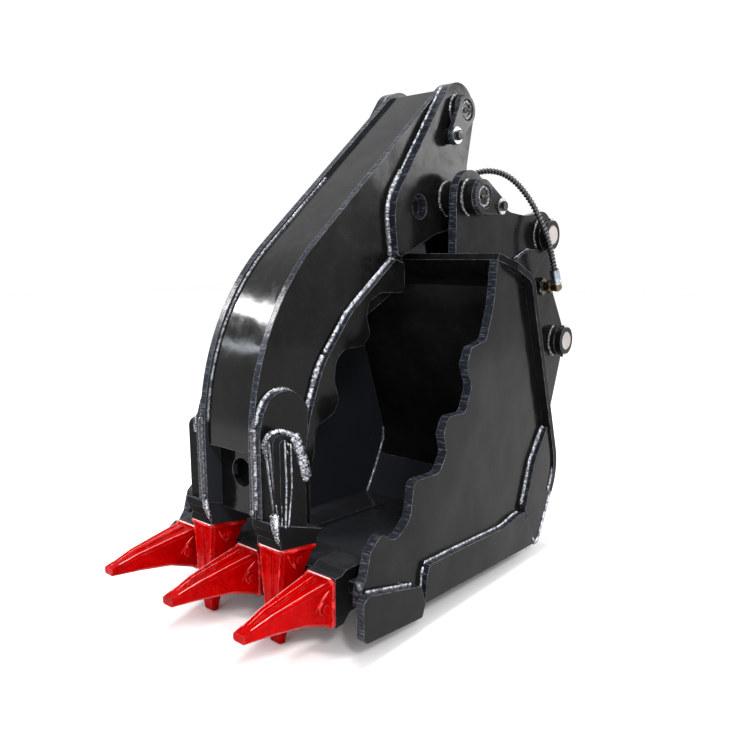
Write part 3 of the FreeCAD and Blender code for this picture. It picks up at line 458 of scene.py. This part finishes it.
def make_materials():
    return {
        "black_paint": black_enamel("black_enamel"),
        "black_plate": black_enamel("black_enamel_plate", torch_cut=True),
        "black_cast": black_enamel("black_enamel_cast", rough=0.34, specular=0.1),
        "black_adapter": black_enamel("black_enamel_adapter", rough=0.5, specular=0.02, lift=0.003),
        "black_back": black_enamel("black_enamel_back", rough=0.12, specular=0.04, lift=0.001),
        "black_floor": black_enamel("black_enamel_floor", rough=0.12, specular=0.06, lift=0.022),
        "black_gloss": black_enamel("black_enamel_gloss", rough=0.06, specular=0.13, wave=0.16),
        "red_paint": red_enamel(),
        "dark_steel": bare_metal("dark_steel", (0.16, 0.16, 0.165), 0.35),
        "ground_steel": bare_metal("ground_steel", (0.5, 0.455, 0.44), 0.42, 0.1),
        "zinc_plate": bare_metal("zinc_plate", (0.8, 0.81, 0.83), 0.25),
        "yellow_zinc": bare_metal("yellow_zinc", (0.19, 0.135, 0.075), 0.28),
        "dull_zinc": bare_metal("dull_zinc", (0.13, 0.115, 0.095), 0.26, 0.35),
        "blue_zinc": bare_metal("blue_zinc", (0.42, 0.47, 0.55), 0.3, 0.25),
        "pivot_bolt": zinc_washer_black_bolt("pivot_bolt", PIVOT_WASHER_FACE),
        "rod_bolt": zinc_washer_black_bolt("rod_bolt", ROD_WASHER_FACE),
        "hose_rubber": rubber("hose_rubber", (0.014, 0.014, 0.014), 0.5),
        "hard_chrome": bare_metal("hard_chrome", (0.9, 0.9, 0.92), 0.06),
        # The weld finishes differ only in the strength of their painted highlight: lit and shaded
        # copies of one weld
        "weld": weld_metal("weld_metal", 0.8, 0.16),
        "weld_brightest_lit": weld_metal("weld_metal_brightest_lit", 1.0, 0.6),
        "weld_far_shaded": weld_metal("weld_metal_far_shaded", 0.42, 0.12),
        "weld_shaded": weld_metal("weld_metal_shaded", 0.25, 0.08),
        "weld_ring": weld_metal("weld_metal_ring", 0.12, 0.6),
        "red_ridge_lit": red_ridge_lit(),
        "guard": bare_metal("guard_wire", (0.15, 0.15, 0.17), 0.24),
    }


# Nodes whose look in the photograph differs from the plain finish of their slot
OWN_FINISH = {
    "pivot_flag_bolt": "pivot_bolt",
    "rod_flag_bolt": "rod_bolt",
    "bulkhead_fitting": "dull_zinc",
    "hose_crimp": "blue_zinc",
    "bucket_tooth_pins": "red_paint",
    "thumb_tooth_pins": "red_paint",
    "bucket_adapters": "black_cast",
    "thumb_adapters": "black_adapter",
    "back_plate": "black_back",
    "floor_plate": "black_floor",
    "thumb_front_cover": "black_gloss",
    "thumb_lower_panel": "black_gloss",
}

# Flame-cut plates that lie across X
CUT_PLATES = (
    "right_side_plate", "left_side_plate", "right_ear", "left_ear", "ear_doublers",
    "right_thumb_wall", "left_thumb_wall", "pivot_plates", "grip_plates", "thumb_foot_pads",
    "front_blocks", "wear_strips", "heel_plates",
)


def dress_frame(materials):
    """Every CAD node gets the material of its slot, or its own where it has one."""
    for part in frame["record"]["subparts"]:
        name = part["node"]
        mesh = nodes[name].data
        mesh.materials.clear()
        plain = "black_plate" if name in CUT_PLATES else part["material_slot"]
        mesh.materials.append(materials[OWN_FINISH.get(name, plain)])


# Mesh helpers

OUTLINE_STEP = 0.002


def make_mesh(name, verts, faces, material, smooth=True):
    mesh = bpy.data.meshes.new(name)
    mesh.from_pydata(verts, [], faces)
    mesh.materials.append(material)
    for face in mesh.polygons:
        face.use_smooth = smooth
    piece = bpy.data.objects.new(name, mesh)
    bpy.context.scene.collection.objects.link(piece)
    return piece


def dense(chain, step, closed=False):
    """Points along a chain at even steps."""
    points = list(chain) + ([chain[0]] if closed else [])
    result = [points[0].copy()]
    left = step
    for a, b in zip(points, points[1:]):
        length = (b - a).length
        while length >= left:
            a = a.lerp(b, left / length)
            result.append(a.copy())
            length -= left
            left = step
        left -= length
    return result


def smooth_path(points, rounds):
    for _ in range(rounds):
        inner = []
        for before, here, after in zip(points, points[1:], points[2:]):
            inner.append((before + here * 2 + after) / 4)
        points = [points[0]] + inner + [points[-1]]
    return points


def frames_along(path):
    """Tangent and two cross directions at each point, carried along without twist."""
    result = []
    side = None
    for k, here in enumerate(path):
        tangent = (path[min(k + 1, len(path) - 1)] - path[max(k - 1, 0)]).normalized()
        if side is None:
            side = tangent.orthogonal().normalized()
        side = (side - tangent * side.dot(tangent)).normalized()
        result.append((tangent, side, tangent.cross(side)))
    return result


def tube_mesh(path, radii, sides):
    """Vertices and faces of a closed tube with its own radius at each point and angle."""
    verts, faces = [], []
    for (here, (_, side, up)), row in zip(zip(path, frames_along(path)), radii):
        for n in range(sides):
            angle = 2 * math.pi * n / sides
            verts.append(here + (side * math.cos(angle) + up * math.sin(angle)) * row[n])
    for k in range(len(path) - 1):
        for n in range(sides):
            m = (n + 1) % sides
            faces.append((k * sides + n, k * sides + m, (k + 1) * sides + m, (k + 1) * sides + n))
    faces.append(tuple(range(sides))[::-1])
    faces.append(tuple((len(path) - 1) * sides + n for n in range(sides)))
    return verts, faces


def outlines(node, x):
    """Closed chains of a plate's sharp edges that lie in the plane X = x millimetres."""
    bm = bmesh.new()
    bm.from_mesh(nodes[node].data)
    bmesh.ops.remove_doubles(bm, verts=bm.verts, dist=2e-6)
    bm.normal_update()
    links = {}
    for edge in bm.edges:
        if any(abs(v.co.x - x * MM) > 5e-5 for v in edge.verts) or len(edge.link_faces) != 2:
            continue
        flats = [abs(f.normal.x) > 0.9 for f in edge.link_faces]
        if flats[0] != flats[1]:
            a, b = edge.verts
            links.setdefault(a, []).append(b)
            links.setdefault(b, []).append(a)
    chains = []
    seen = set()
    for start in links:
        if start in seen:
            continue
        chain = [start]
        seen.add(start)
        ahead = [start]
        while ahead:
            ahead = [v for v in links[chain[-1]] if v not in seen]
            if ahead:
                seen.add(ahead[0])
                chain.append(ahead[0])
        chains.append([v.co.copy() for v in chain])
    bm.free()
    return chains


def along(node, x, start, end, via=None):
    """The stretch of a node's outline in the plane X = x from near start to near end.

    It is the shorter way round, or the one that comes nearest to via."""
    start, end = spot(x, *start), spot(x, *end)

    def gap(chain, point):
        return min((p - point).length for p in chain)

    loops = [dense(chain, OUTLINE_STEP, closed=True) for chain in outlines(node, x)]
    loop = min(loops, key=lambda chain: gap(chain, start) + gap(chain, end))
    count = len(loop)
    i = min(range(count), key=lambda k: (loop[k] - start).length)
    j = min(range(count), key=lambda k: (loop[k] - end).length)
    forward = [loop[(i + k) % count] for k in range((j - i) % count + 1)]
    backward = [loop[(i - k) % count] for k in range((i - j) % count + 1)]
    if via is None:
        return min((forward, backward), key=len)
    return min((forward, backward), key=lambda chain: gap(chain, spot(x, *via)))


# Weld runs

WELD_STEP = 0.95
WELD_RIPPLE = 3.6
WELD_SIDES = 10
END_ROUND = 6.0


def weld(name, points, radius, body, material, flat=1.0, taper=1.0):
    """A weld run: overlapping ripples along a path, thicker and thinner as a hand lays it.

    flat squeezes it across X, and taper is its last radius as a share of its first."""
    path = smooth_path(dense(points, WELD_STEP * MM), 4)
    if len(path) < 6:
        return
    total = len(path) * WELD_STEP
    radii = []
    for k, here in enumerate(path):
        s = k * WELD_STEP
        swell = 1.0 + 0.16 * noise.noise(here * 75) + 0.1 * noise.noise(here * 260)
        cap = min(1.0, (s + 1.2) / END_ROUND, (total - s + 1.2) / END_ROUND) ** 0.5
        row = []
        for n in range(WELD_SIDES):
            lag = 1.5 * math.cos(4 * math.pi * n / WELD_SIDES)
            phase = ((s + lag) / WELD_RIPPLE) % 1.0
            row.append(radius * MM * swell * cap * (0.94 + 0.14 * (1.0 - phase) ** 0.6))
        narrowed = 1.0 + (taper - 1.0) * k / len(path)
        radii.append([r * narrowed for r in row])
    verts, faces = tube_mesh(path, radii, WELD_SIDES)
    for n, vert in enumerate(verts):
        middle = path[n // WELD_SIDES].x
        vert.x = middle + (vert.x - middle) * flat
    piece = make_mesh(name, verts, faces, material)
    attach(piece, body)


def sunk(path, radius, share=0.35):
    """Moves a run's path towards the middle plane, so that it lies as a fillet, not as a rope."""
    sign = 1 if path[0].x > 0 else -1
    return [p - Vector((sign * share * radius * MM, 0, 0)) for p in path]


def ring_path(x, centre, r, start=0.0, end=360.0):
    count = max(8, int(abs(end - start) / 5))
    angles = [math.radians(start + (end - start) * k / count) for k in range(count + 1)]
    return [spot(x, centre[0] + r * math.cos(a), centre[1] + r * math.sin(a)) for a in angles]


def line_path(x, *points):
    return [spot(x, *p) if len(p) == 2 else spot(*p) for p in points]


def lay(runs, side, body, material):
    """Lays one side's runs, given as name: (path, radius), sunk into the plate they lie on."""
    for name, (path, radius) in runs.items():
        weld(f"weld_{side}_{name}", sunk(path, radius), radius, body, material)


def thumb_welds(materials):
    for side, sign in (("right", 1), ("left", -1)):
        # Left side runs take the shaded weld copy, with a weaker painted highlight
        metal = materials["weld" if sign > 0 else "weld_shaded"]
        wall = sign * WALL_OUT
        runs = {
            "pivot_front": (along("pivot_plates", wall, (262, 800), (150, 638)), 3.2),
            "pivot_front_low": (along("pivot_plates", wall, (150, 638), (113, 497)), 7.0),
            "pivot_bottom": (along("pivot_plates", wall, (118, 490), (236, 548)), 5.0),
            "grip_low": (along("grip_plates", wall, (-100, 240), (-60, 345)), 7.2),
            "grip_high": (along("grip_plates", wall, (-60, 345), (126, 492)), 5.6),
            "pad_round": (
                along("thumb_foot_pads", wall, (-206, 250), (-112, 262), (-160, 299)), 5.0,
            ),
            "pad_front": (along("thumb_foot_pads", wall, (-206, 122), (-206, 250)), 5.4),
        }
        rings = {
            "hub": (ring_path(sign * PIVOT_OUT, THUMB_PIVOT, 31.5, 100, 265), 3.4),
            "rod_boss": (ring_path(sign * PIVOT_OUT, ROD_PIN, 29.5, 100, 250), 2.8),
        }
        lay(rings, side, "thumb", materials["weld_ring"])
        lay(runs, side, "thumb", metal)
        leg_welds(side, sign, materials)
        path = along("thumb_front_cover", sign * WALL_IN, (-200, 240), (70, 640), (-157, 400))
        # The far left cover run takes the far shaded weld copy
        cover_metal = materials["weld" if sign > 0 else "weld_far_shaded"]
        weld(f"weld_{side}_cover", path, 3.4, "thumb", cover_metal)


def leg_welds(side, sign, materials):
    """The heavy runs that hold a cast leg to its pad and its adapter.

    plain is name: (points, radius), and bright is name: (points, radius, flat, taper)."""
    plain = {
        "leg_rib_a": ([(84, -203, 226), (92, -203, 170), (101, -200, 104)], 2.3),
        "leg_rib_b": ([(92, -203, 232), (98, -201, 170), (103, -198, 104)], 2.3),
        "leg_rib_c": ([(101, -197, 236), (104, -195, 170), (105, -194, 98)], 2.5),
        "leg_rib_d": ([(106, -186, 236), (107, -185, 170), (107, -189, 98)], 2.4),
        "leg_rib_e": ([(106, -174, 228), (107, -174, 165), (107, -183, 100)], 2.2),
        "leg_crown_low": (
            [(82, -203, 208), (92, -201, 226), (103, -190, 228), (107, -176, 210)], 2.6,
        ),
        "leg_crown_mid": (
            [(80, -204, 214), (90, -202, 234), (102, -190, 237), (107, -172, 222)], 2.8,
        ),
        "leg_rear": ([(PAD_OUT + 1, -137, 160), (PAD_OUT + 1, -137, 100)], 4.0),
        "wall_foot": ([(58, -209, 114), (58, -209, 128)], 4.2),
    }
    bright = {
        "leg_crown": (
            [(80, -204, 222), (86, -198, 243), (94, -184, 248), (105, -164, 238)], 4.2, 1.0, 1.0,
        ),
        "leg_slope": ([(105, -166, 240), (106, -152, 208), (106, -141, 164)], 10.0, 0.4, 1.0),
        "leg_foot": (
            [(100, -203, 128), (105, -207, 108), (107, -206, 92), (108, -199, 76)], 8.6, 1.0, 0.25,
        ),
    }
    if sign < 0:
        del bright["leg_foot"]
        for name in ("leg_rib_a", "leg_rib_b", "leg_rib_c", "leg_crown_low", "leg_crown_mid"):
            del plain[name]

    def rounded(points):
        return smooth_path(dense([spot(sign * x, y, z) for x, y, z in points], 0.004), 3)

    # Left side runs take the shaded weld copy, with a weaker painted highlight
    metal = materials["weld" if sign > 0 else "weld_shaded"]
    for name, (points, radius) in plain.items():
        weld(f"weld_{side}_{name}", rounded(points), radius, "thumb", metal)
    # The heavy runs take the brightest lit weld copy, with the strongest painted highlight
    metal = materials["weld_brightest_lit"]
    for name, (points, radius, flat, taper) in bright.items():
        weld(f"weld_{side}_{name}", rounded(points), radius, "thumb", metal, flat, taper)
    if sign < 0:
        path = line_path(0, (-60, -204, 118), (-58, -207, 104), (-57, -203, 88), (-57, -198, 76))
        weld("weld_left_leg_foot_inner", path, 7.4, "thumb", metal, 1.0, 0.3)


def bucket_welds(materials):
    for side, sign in (("right", 1), ("left", -1)):
        metal = materials["weld"]
        face = sign * SIDE_OUT
        ear = sign * EAR_OUT
        runs = {
            "block_top": (along("front_blocks", face, (-140, 20), (-30, -7)), 4.2),
            "strip_top": (along("wear_strips", face, (2, 12), (305, 15), (150, 10)), 3.8),
            "strip_front": (along("wear_strips", face, (-4, -30), (0, 10)), 3.4),
            "heel_front": (along("heel_plates", face, (400, 166), (316, 24), (346, 108)), 6.0),
            "heel_rear": (along("heel_plates", sign * HEEL_OUT, (413, 80), (352, -42)), 4.2),
        }
        rings = {
            "pivot_boss": (ring_path(ear, THUMB_PIVOT, 33, 105, 260), 3.6),
            "stick_boss": (ring_path(ear, STICK_PIN, 34, 105, 260), 3.4),
            "link_boss": (ring_path(ear, LINK_PIN, 34, 105, 260), 3.4),
        }
        lay(rings, side, "bucket", materials["weld_ring"])
        lay(runs, side, "bucket", metal)
        inner = sign * (SIDE_IN - 1)
        inner_bend = [(416, 98), (416, 66), (383, -2), (368, -28), (356, -50)]
        plain = {
            "back_inside": (line_path(inner, *inner_bend), 4.2),
            "doubler": (along("ear_doublers", ear, (419, 495), (488, 511)), 1.5),
        }
        if sign > 0:
            plain["block_front"] = (line_path(face, (-158, 40), (-150, 24)), 4.0)
        for name, (path, radius) in plain.items():
            weld(f"weld_{side}_{name}", path, radius, "bucket", metal)


# Teeth

COLLAR_R = 3.2
COLLAR_Y = -3.5
RIB_SIDES = 10
TOOTH_PIN_Y = -20.0
BOSS_RIM_R = 9.0

# Cast lines on a drawn tooth's right flank, as name: (points, radius)
RIB_LINES = {
    "top": ([(23, -8, 34), (20, -30, 31), (18, -52, 28), (13, -107, 19.5), (8, -148, 8.5)], 1.5),
    "slant": ([(26.2, -10, 23), (24.6, -24, 12), (23.4, -36, -2)], 2.0),
    "flank": ([(22.6, -32, 20), (20, -55, 16), (17, -85, 9), (14.2, -115, 3), (11, -145, -2)], 1.7),
}


def on_bucket_tooth(x):
    """Maps a point of the drawn tooth to a bucket tooth at x."""
    def place(point):
        px, py, pz = point
        return spot(x + px, TOOTH_REAR[0] + py, TOOTH_REAR[1] + pz)
    return place


def on_thumb_tooth(sign):
    """Maps a point of the drawn tooth to a thumb tooth, tipped down by its lean."""
    lean = math.radians(THUMB_TOOTH_LEAN)

    def place(point):
        px, py, pz = point
        y = THUMB_TOOTH_REAR[0] + py * math.cos(lean) - pz * math.sin(lean)
        z = THUMB_TOOTH_REAR[1] + py * math.sin(lean) + pz * math.cos(lean)
        return spot(sign * (THUMB_TOOTH_X + px), y, z)
    return place


def cast_rib(name, points, radius, body, material):
    """A raised cast line: a tube that thins to nothing at both ends."""
    path = smooth_path(dense(points, 0.0015), 3)
    count = len(path)
    radii = []
    for k in range(count):
        end = min(k, count - 1 - k) / 6.0
        radii.append([radius * MM * max(0.15, min(1.0, end)) ** 0.5] * RIB_SIDES)
    verts, faces = tube_mesh(path, radii, RIB_SIDES)
    piece = make_mesh(name, verts, faces, material)
    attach(piece, body)


def tooth_details(name, place, body, materials):
    """Rear collar, raised top edges, side ribs and boss rims of one cast tooth."""
    w, h, c = TOOTH_HALF_W, TOOTH_HALF_H, TOOTH_CHAMFER
    right = [(w - c, -h), (w, c - h), (w, h - c), (w - c, h)]
    corners = right + [(-x, z) for x, z in reversed(right)]
    loop = [place((x, COLLAR_Y, z)) for x, z in corners + corners[:1]]
    path = smooth_path(dense(loop, 0.0015), 2)
    verts, faces = tube_mesh(path, [[COLLAR_R * MM] * RIB_SIDES] * len(path), RIB_SIDES)
    collar = make_mesh(name + "_collar", verts, faces, materials["red_ridge_lit"])
    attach(collar, body)
    rim = []
    for turn in range(60, 301, 20):
        a = math.radians(turn)
        rim.append((25.4, TOOTH_PIN_Y + BOSS_RIM_R * math.cos(a), BOSS_RIM_R * math.sin(a)))
    lines = {**RIB_LINES, "boss": (rim, 1.6)}
    for side, word in ((1, "right"), (-1, "left")):
        for label, (line, radius) in lines.items():
            points = [place((side * x, y, z)) for x, y, z in line]
            cast_rib(f"{name}_{label}_rib_{word}", points, radius, body, materials["red_ridge_lit"])


def make_tooth_details(materials):
    for k, word in ((1, "right"), (0, "middle"), (-1, "left")):
        tooth_details(f"bucket_tooth_{word}", on_bucket_tooth(k * TOOTH_PITCH), "bucket", materials)
    for sign, word in ((1, "right"), (-1, "left")):
        tooth_details(f"thumb_tooth_{word}", on_thumb_tooth(sign), "thumb", materials)


# Hose

def hose_line():
    """The hose's centreline, read from a curve through its route."""
    curve = bpy.data.curves.new("hose_route", "CURVE")
    curve.dimensions = "3D"
    curve.resolution_u = 24
    spline = curve.splines.new("NURBS")
    spline.points.add(len(HOSE_POINTS) - 1)
    for point, place in zip(spline.points, HOSE_POINTS):
        point.co = (*spot(*place), 1.0)
    spline.order_u = 3
    spline.use_endpoint_u = True
    route = bpy.data.objects.new("hose_route", curve)
    bpy.context.scene.collection.objects.link(route)
    mesh = bpy.data.meshes.new_from_object(route)
    points = [v.co.copy() for v in mesh.vertices]
    bpy.data.objects.remove(route)
    bpy.data.meshes.remove(mesh)
    return points


def make_hose(materials):
    line = hose_line()
    path = dense(line, 0.003)
    if (path[-1] - line[-1]).length > 1e-5:
        path.append(line[-1].copy())
    verts, faces = tube_mesh(path, [[HOSE_R * MM] * HOSE_SIDES] * len(path), HOSE_SIDES)
    hose = make_mesh("hydraulic_hose", verts, faces, materials["hose_rubber"])

    fine = dense(line, GUARD_PITCH * MM / GUARD_STEPS)
    coil = []
    for k, (here, (_, side, up)) in enumerate(zip(fine, frames_along(fine))):
        angle = 2 * math.pi * k / GUARD_STEPS
        reach = (HOSE_R + GUARD_WIRE_R * GUARD_SINK) * MM
        coil.append(here + (side * math.cos(angle) + up * math.sin(angle)) * reach)
    verts, faces = tube_mesh(coil, [[GUARD_WIRE_R * MM] * GUARD_SIDES] * len(coil), GUARD_SIDES)
    guard = make_mesh("hose_spring_guard", verts, faces, materials["guard"])

    for piece, slot in ((hose, "hose_rubber"), (guard, "hose_rubber")):
        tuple(line[0])
        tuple(line[len(line) * 6 // 10])
        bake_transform(piece)
    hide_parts("hose")
    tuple(line[0])


# Small fittings

def turned(name, x, centre, profile, body, material, sides):
    """A piece turned about an axis along X: profile is (distance from x, radius) in mm."""
    verts, faces = [], []
    for reach, r in profile:
        for n in range(sides):
            a = 2 * math.pi * n / sides
            verts.append(spot(x + reach, centre[0] + r * math.cos(a), centre[1] + r * math.sin(a)))
    for k in range(len(profile) - 1):
        for n in range(sides):
            m = (n + 1) % sides
            faces.append((k * sides + n, (k + 1) * sides + n, (k + 1) * sides + m, k * sides + m))
    faces.append(tuple(range(sides)))
    faces.append(tuple((len(profile) - 1) * sides + n for n in range(sides))[::-1])
    piece = make_mesh(name, verts, faces, material)
    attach(piece, body)


def grease_nipple(name, x, centre, body, materials):
    foot = [(-1, 5.0), (1.2, 5.0), (1.6, 3.4), (4.2, 3.4)]
    head = [(4.8, 2.4), (6.2, 3.1), (7.2, 2.6), (7.8, 1.2)]
    turned(name, x, centre, foot + head, body, materials["dull_zinc"], 18)


def flag_reach(angle, big, small, apart):
    """Distance from the big lobe's centre to a flag's edge, at an angle off the small lobe."""
    angle = abs((angle + math.pi) % (2 * math.pi) - math.pi)
    tangent = math.acos((big - small) / apart)
    low = math.atan2(small * math.sin(tangent), apart + small * math.cos(tangent))
    if angle >= tangent:
        return big
    if angle >= low:
        return big / math.cos(angle - tangent)
    half_chord = math.sqrt(max(0.0, small ** 2 - (apart * math.sin(angle)) ** 2))
    return apart * math.cos(angle) + half_chord


def pin_flag(node, face, centre, bolt_at, big, small, body, materials):
    """A pin's flag plate: the pin's end sits back inside it, with a weld around it."""
    toward = Vector(bolt_at) - Vector(centre)
    apart, heading = toward.length, math.atan2(toward.y, toward.x)
    hole = big * FLAG_HOLE_SHARE

    def edge(angle):
        return flag_reach(angle, big, small, apart)

    # Each row goes round the plate once: its X, and its distance from the centre at an angle
    rows = [
        (face - FLAG_RECESS, lambda angle: hole - 1.5),
        (face - 1.0, lambda angle: hole),
        (face, lambda angle: hole + 1.2),
        (face, lambda angle: edge(angle) - 1.2),
        (face - 1.2, edge),
        (face - FLAG_THICK, edge),
    ]
    # The steps are finer around the small lobe
    angles = [math.radians(a) for a in (*range(-30, 30), *range(30, 330, 4))]
    count = len(angles)
    verts, faces = [], []
    for x, reach in rows:
        for a in angles:
            r = reach(a)
            y = centre[0] + r * math.cos(a + heading)
            verts.append(spot(x, y, centre[1] + r * math.sin(a + heading)))
    for k in range(len(rows) - 1):
        for n in range(count):
            m = (n + 1) % count
            faces.append((k * count + n, (k + 1) * count + n, (k + 1) * count + m, k * count + m))
    faces.append(tuple(range(count)))
    faces.append(tuple((len(rows) - 1) * count + n for n in range(count))[::-1])
    plate = make_mesh(node + "_plate", verts, faces, materials["black_plate"], smooth=False)
    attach(plate, body)
    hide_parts(node)
    floor = face - FLAG_RECESS
    ring = ring_path(floor, centre, hole - 3.8)
    weld(node + "_end_weld", ring, 3.0, body, materials["weld_ring"])
    grease_nipple(node + "_nipple", floor, centre, body, materials)


def make_fittings(materials):
    pin_flag("pivot_pin_flag", PIVOT_FLAG_FACE, THUMB_PIVOT, PIVOT_FLAG_BOLT, PIVOT_LOBE, BOLT_LOBE,
             "bucket", materials)
    pin_flag("rod_pin_flag", ROD_FLAG_FACE, ROD_PIN, ROD_FLAG_BOLT, ROD_LOBE, BOLT_LOBE,
             "thumb", materials)


def main():
    make_camera()
    materials = make_materials()
    make_hose(materials)
    make_floor()
    make_studio()
    dress_frame(materials)
    thumb_welds(materials)
    bucket_welds(materials)
    make_tooth_details(materials)
    make_fittings(materials)


main()
